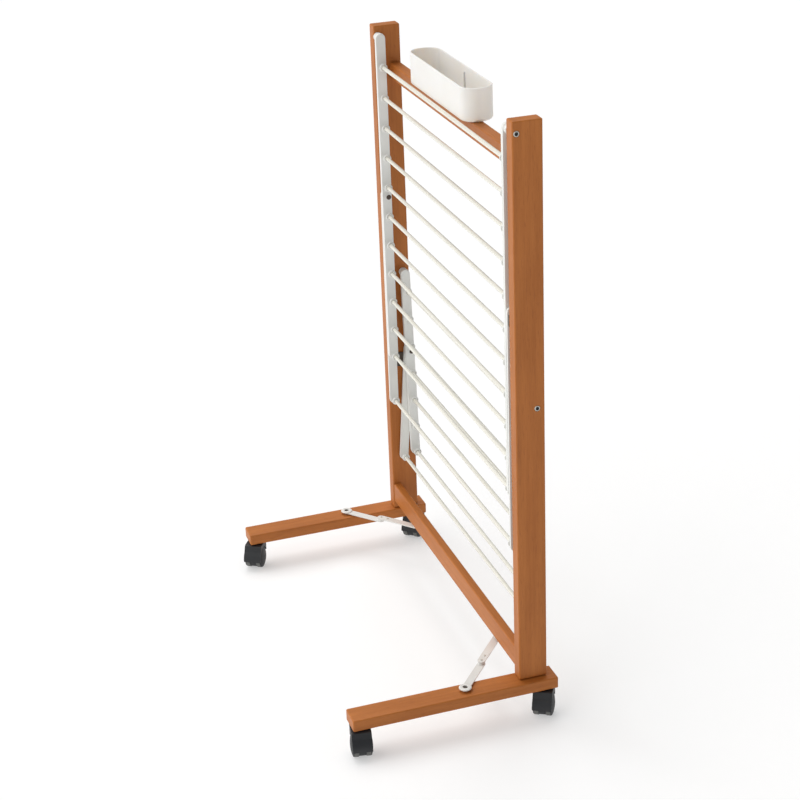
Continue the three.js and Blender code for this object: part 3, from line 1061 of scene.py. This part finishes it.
class RACK_OT_braces(bpy.types.Operator):
    """Make the hinged steel braces between the lower crossbar and the feet"""

    bl_idname = "rack.braces"
    bl_label = "Foot braces"

    def execute(self, context):
        sizes = context.scene.rack_sizes
        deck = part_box("foot_right")[1].z
        for name in SIDES:
            foot_end = joint_at(f"brace_foot_hinge_{name}")
            bar_end = joint_at(f"brace_bar_hinge_{name}")
            knuckle = (foot_end + bar_end) / 2
            self.foot_link(sizes, name, foot_end, knuckle, deck)
            self.bar_link(sizes, name, bar_end, knuckle, deck)
        return {"FINISHED"}

    def foot_link(self, sizes, name, foot_end, knuckle, deck):
        """The lower link, with the washer at its end and the knuckle's boss."""
        node = f"brace_foot_link_{name}"
        low = deck + LINK["foot"]
        high = low + LINK["thick"]
        bm = bmesh.new()
        outline = stadium(foot_end.xy, knuckle.xy, sizes.link_width)
        prism(bm, outline, "Z", low, high, LINK["edge"])
        base = Vector((foot_end.x, foot_end.y, 0))
        rim, bore = sizes.washer_radius, sizes.washer_bore
        foot, floor, top = high - OVERLAP, high + WASHER["floor"], high + WASHER["height"]
        ring = [
            (0, foot), (rim, foot), (rim, top - WASHER["side"]), (rim - WASHER["bevel"], top),
            (bore, top), (bore, floor), (0, floor),
        ]
        turned(bm, eased(ring, 0.5 * MM), base, Z_AXIS)
        column(bm, LINK["post"], deck + CLEARANCE, low + CLEARANCE, base)
        pin = Vector((knuckle.x, knuckle.y, 0))
        column(bm, 0.47 * sizes.link_width, foot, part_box(node)[1].z, pin)
        attach(solid(f"steel_{node}", bm, "white_enamel"), node, [node])
        radius = bore - PIN["fit"]
        dome = [(0, high), (radius, high), (radius, high + PIN["side"]), (0, high + PIN["crown"])]
        bm = bmesh.new()
        turned(bm, eased(dome, 0.4 * MM), base, Z_AXIS)
        attach(solid(f"brace_pin_{name}", bm, "brown_plastic"), node)

    def bar_link(self, sizes, name, bar_end, knuckle, deck):
        """The upper link, with its boss under the crossbar and two rivets at the knuckle."""
        node = f"brace_bar_link_{name}"
        low = deck + LINK["bar"]
        high = low + LINK["thick"]
        bm = bmesh.new()
        outline = stadium(bar_end.xy, knuckle.xy, sizes.link_width)
        prism(bm, outline, "Z", low, high, LINK["edge"])
        base = Vector((bar_end.x, bar_end.y, 0))
        column(bm, LINK["post"], high - OVERLAP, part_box(node)[1].z, base)
        attach(solid(f"steel_{node}", bm, "white_enamel"), node, [node])
        back = (bar_end - knuckle).normalized()
        radius, crown = LINK_RIVET["radius"], high + LINK_RIVET["crown"]
        dome = [
            (0, high - OVERLAP), (radius, high - OVERLAP), (radius, high + LINK_RIVET["side"]),
            (LINK_RIVET["flat"], crown), (0, crown),
        ]
        bm = bmesh.new()
        for distance in LINK_RIVET_SPOTS:
            spot = knuckle + back * distance
            turned(bm, eased(dome, 0.4 * MM), Vector((spot.x, spot.y, 0)), Z_AXIS, 24)
        attach(solid(f"brace_rivets_{name}", bm, "zinc_plate"), node)


# A caster stands in its own space: swivel on the Z axis, axle at trail along X.
HOOD = {
    "inner": 20.7 * MM, "outer": 22.6 * MM, "half": 16.6 * MM, "crown": 48.6 * MM,
    "neck": 8.5 * MM, "edge": 0.8 * MM, "from": -5, "bend": 50, "to": 160,
}
FIN_PLATE = {"low": 19 * MM, "high": 21.2 * MM, "from": -52, "edge": 0.5 * MM}
WHEEL = {"radius": 20 * MM, "height": 20 * MM, "tread": 14.8 * MM, "hub": 18.7 * MM}
WHEEL_GAP = {"plate": 6 * MM, "wheel": 6.4 * MM, "shaft": 6.9 * MM}
SHAFT_RADIUS = 2.6 * MM
CASTER_TOP = 49.7 * MM


class RACK_OT_casters(bpy.types.Operator):
    """Make the four twin-wheel casters: hood, wheel discs, treads and axle"""

    bl_idname = "rack.casters"
    bl_label = "Casters"

    def execute(self, context):
        for name in SIDES:
            for end in ENDS:
                place = f"{name}_{end}"
                swivel = joint_at(f"caster_{place}_swivel")
                out = (joint_at(f"caster_{place}_roll") - swivel).xy
                turn = Matrix.Translation((swivel.x, swivel.y, 0))
                turn @= Matrix.Rotation(math.atan2(out.y, out.x), 4, "Z")
                self.hood(place, turn, out.length)
                self.wheels(place, turn, out.length)
        return {"FINISHED"}

    def hood(self, place, turn, trail):
        """The hood over both wheels, the plate between them, and the stem."""
        centre = (trail, WHEEL["height"])
        start, stop, neck, crown = HOOD["from"], HOOD["to"], HOOD["neck"], HOOD["crown"]
        outline = arc(centre, HOOD["outer"], start, HOOD["bend"], 14)
        outline += [(trail + neck + 2.5 * MM, crown - 1.2 * MM), (trail + neck, crown)]
        outline += [(-neck + 1.5 * MM, crown), (-neck, crown - 1.5 * MM)]
        outline += arc(centre, HOOD["inner"], stop, start, 30)
        bm = bmesh.new()
        prism(bm, outline, "Y", -HOOD["half"], HOOD["half"], HOOD["edge"])
        plate = arc(centre, FIN_PLATE["low"], FIN_PLATE["from"], start, 8)
        plate += arc(centre, FIN_PLATE["high"], start + 1, stop, 24)
        plate += [(trail - 8 * MM, 7 * MM), (trail + 4 * MM, 3 * MM)]
        half = WHEEL_GAP["plate"]
        prism(bm, plate, "Y", -half, half, FIN_PLATE["edge"], 2)
        column(bm, neck, crown - 3 * MM, CASTER_TOP, Vector((0, 0, 0)))
        bmesh.ops.transform(bm, matrix=turn, verts=bm.verts)
        piece = solid(f"hood_{place}", bm, "black_plastic")
        attach(piece, f"caster_{place}", [f"caster_housing_{place}"])

    def wheels(self, place, turn, trail):
        """Both wheels on their shaft: the discs, and the treads round them."""
        axle = Vector((trail, 0, WHEEL["height"]))
        inner, edge, hub = WHEEL_GAP["wheel"], WHEEL["tread"], WHEEL["hub"]
        radius = WHEEL["radius"]
        disc = [
            (0, inner), (radius - 1.1 * MM, inner), (radius - 1.1 * MM, edge - 0.8 * MM),
            (radius - 0.35 * MM, edge - 0.4 * MM), (radius - 0.5 * MM, edge + 0.3 * MM),
            (16.6 * MM, hub - 2.3 * MM), (15.6 * MM, hub - 2.2 * MM), (15.0 * MM, hub - 1.7 * MM),
            (9 * MM, hub - 0.5 * MM), (5.4 * MM, hub - 0.1 * MM), (5.0 * MM, hub - 0.5 * MM),
            (4.2 * MM, hub - 0.5 * MM), (3.8 * MM, hub), (0, hub),
        ]
        tread = [
            (radius - 1.0 * MM, inner), (radius - 0.4 * MM, inner), (radius, inner + 0.5 * MM),
            (radius, edge - 1.4 * MM), (radius - 0.4 * MM, edge - 0.8 * MM),
            (radius - 1.0 * MM, edge - 0.8 * MM),
        ]
        disc, tread = eased(disc, 0.5 * MM, 2), eased(tread, 0.25 * MM, 2)
        discs, treads = bmesh.new(), bmesh.new()
        for side in SIDES.values():
            turned(discs, disc, axle, Y_AXIS * side, 48)
            turned(treads, [*tread, tread[0]], axle, Y_AXIS * side, 48)
        span = WHEEL_GAP["shaft"]
        shaft = [(0, -span), (SHAFT_RADIUS, -span), (SHAFT_RADIUS, span), (0, span)]
        turned(discs, shaft, axle, Y_AXIS, 24)
        for bm in (discs, treads):
            bmesh.ops.transform(bm, matrix=turn, verts=bm.verts)
        node = f"caster_wheels_{place}"
        piece = solid(f"wheel_discs_{place}", discs, "black_plastic")
        attach(piece, node, [node])
        attach(solid(f"wheel_treads_{place}", treads, "grey_tread"), node)


# ---- operators: tray and stage ---------------------------------------------------------
TRAY_FLOOR = 3 * MM
FIN = {"half": 1.2 * MM, "reach": 4.4 * MM, "drop": 11 * MM, "foot": 2 * MM}
LUG = {"from_end": 60 * MM, "half": 12 * MM, "root": 1 * MM, "rear": 14 * MM, "front": 3 * MM}


class RACK_OT_tray(bpy.types.Operator):
    """Make the open peg tray that sits over the upper crossbar"""

    bl_idname = "rack.tray"
    bl_label = "Peg tray"

    def execute(self, context):
        sizes = context.scene.rack_sizes
        low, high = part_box("peg_tray")
        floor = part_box("crossbar_upper")[1].z + CLEARANCE
        bm = bmesh.new()
        self.tub(bm, sizes, low, high, floor)
        middle_x, root = (low.x + high.x) / 2, high.y - sizes.tray_wall / 2
        block(
            bm, (middle_x - FIN["half"], root - FIN["reach"], floor + FIN["foot"]),
            (middle_x + FIN["half"], root, high.z - FIN["drop"]), 0.8 * MM, 3,
        )
        self.lugs(bm, (low.x + LUG["from_end"], high.x - LUG["from_end"]), floor)
        piece = solid("tray_shell", bm, "tray_plastic")
        attach(piece, "peg_tray", ["peg_tray"])
        return {"FINISHED"}

    def tub(self, bm, sizes, low, high, floor):
        """The oval tub, lofted up its outside, over the rim and down its inside."""
        wall, top, outside = sizes.tray_wall, high.z, sizes.tray_rounding
        inside = outside - 0.6 * MM
        turns = [math.radians(90 * i / 6) for i in range(7)]
        sections = [
            (outside * (1 - math.sin(t)), floor + outside * (1 - math.cos(t))) for t in turns
        ]
        sections += [
            (0.2 * MM, floor + 0.5 * (top - floor)), (0, top - 1.2 * MM),
            (0.3 * MM, top - 0.4 * MM), (0.9 * MM, top), (wall - 0.7 * MM, top),
            (wall - 0.2 * MM, top - 0.4 * MM), (wall, top - 1.2 * MM),
        ]
        sections += [
            (wall + inside * (1 - math.sin(t)), floor + TRAY_FLOOR + inside * (1 - math.cos(t)))
            for t in reversed(turns)
        ]
        rings = []
        for inset, z in sections:
            ring = rounded_rectangle(
                (low.x + inset, low.y + inset), (high.x - inset, high.y - inset),
                sizes.tray_corner - inset, 14,
            )
            rings.append([(u, v, z) for u, v in ring])
        loft(bm, rings)

    def lugs(self, bm, places, floor):
        """The lugs below the tub that straddle the crossbar, two pairs of them."""
        bar_low, bar_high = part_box("crossbar_upper")
        pairs = (
            (bar_high.y + 0.3 * MM, bar_high.y + 3.3 * MM, LUG["rear"]),
            (bar_low.y - 2.7 * MM, bar_low.y - 0.3 * MM, LUG["front"]),
        )
        for x in places:
            for near, far, drop in pairs:
                block(
                    bm, (x - LUG["half"], near, floor - drop),
                    (x + LUG["half"], far, floor + LUG["root"]), 0.5 * MM, 2,
                )


SUNS = (
    # name, direction towards it, strength, softness in degrees, colour
    ("key", (-0.15, -0.90, 0.42), 2.32, 95, (1.0, 0.995, 0.985)),
    ("top", (-0.50, 0.05, 1.0), 1.50, 42, (1.0, 1.0, 1.0)),
)
CAMERA_PLACE = (2.8455, -0.8492, 1.8048)
CAMERA_TURN = (65.680, 2.180, 71.699)  # degrees
CAMERA_LENS = 85.33  # millimetres
CAMERA_SENSOR = 36  # millimetres
SKY = {"colour": (1.0, 1.0, 1.0, 1.0), "strength": 0.25}
FLOOR_HALF = 40


class RACK_OT_stage(bpy.types.Operator):
    """Make the floor, the lights, the sky and the camera"""

    bl_idname = "rack.stage"
    bl_label = "Stage"

    def execute(self, context):
        scene = context.scene
        bm = bmesh.new()
        bmesh.ops.create_grid(bm, x_segments=2, y_segments=2, size=FLOOR_HALF)
        mesh = bpy.data.meshes.new("studio_floor")
        bm.to_mesh(mesh)
        bm.free()
        new_object("studio_floor", mesh, "studio_floor")
        for sun in SUNS:
            self.sun(scene, *sun)
        world = bpy.data.worlds.new("studio")
        world.use_nodes = True
        sky = world.node_tree.nodes["Background"]
        sky.inputs["Color"].default_value = SKY["colour"]
        sky.inputs["Strength"].default_value = SKY["strength"]
        scene.world = world
        scene.view_settings.view_transform = "Standard"
        self.camera(scene)
        return {"FINISHED"}

    def sun(self, scene, name, towards, strength, softness, tint):
        data = bpy.data.lights.new(name, "SUN")
        data.energy = strength
        data.angle = math.radians(softness)
        data.color = tint
        lamp = bpy.data.objects.new(name, data)
        lamp.rotation_euler = (-Vector(towards)).to_track_quat("-Z", "Y").to_euler()
        scene.collection.objects.link(lamp)

    def camera(self, scene):
        data = bpy.data.cameras.new("camera")
        data.lens = CAMERA_LENS
        data.sensor_width = CAMERA_SENSOR
        data.dof.use_dof = False
        camera = bpy.data.objects.new("camera", data)
        camera.location = CAMERA_PLACE
        camera.rotation_euler = Euler([math.radians(angle) for angle in CAMERA_TURN])
        scene.collection.objects.link(camera)
        scene.camera = camera


OPERATORS = (
    RACK_OT_posts, RACK_OT_crossbars, RACK_OT_feet, RACK_OT_wings, RACK_OT_stays,
    RACK_OT_pivots, RACK_OT_catches, RACK_OT_braces, RACK_OT_casters, RACK_OT_tray,
    RACK_OT_stage,
)


class RACK_PT_pieces(bpy.types.Panel):
    """Lists the rack's settings and the operators that make its pieces."""

    bl_label = "Drying rack"
    bl_idname = "RACK_PT_pieces"
    bl_space_type = "VIEW_3D"
    bl_region_type = "UI"
    bl_category = "Drying rack"

    def draw(self, context):
        for group in (context.scene.rack_sizes, context.scene.rack_colours):
            column = self.layout.column(align=True)
            for key in group.__annotations__:
                column.prop(group, key)
        for operator in OPERATORS:
            self.layout.operator(operator.bl_idname)


CLASSES = (RackSizes, RackColours, *OPERATORS, RACK_PT_pieces)


def register():
    for cls in CLASSES:
        bpy.utils.register_class(cls)
    bpy.types.Scene.rack_sizes = PointerProperty(type=RackSizes)
    bpy.types.Scene.rack_colours = PointerProperty(type=RackColours)


def unregister():
    del bpy.types.Scene.rack_colours
    del bpy.types.Scene.rack_sizes
    for cls in reversed(CLASSES):
        bpy.utils.unregister_class(cls)


def main():
    register()
    for operator in OPERATORS:
        group, name = operator.bl_idname.split(".")
        getattr(getattr(bpy.ops, group), name)()


if __name__ == "__main__":
    main()
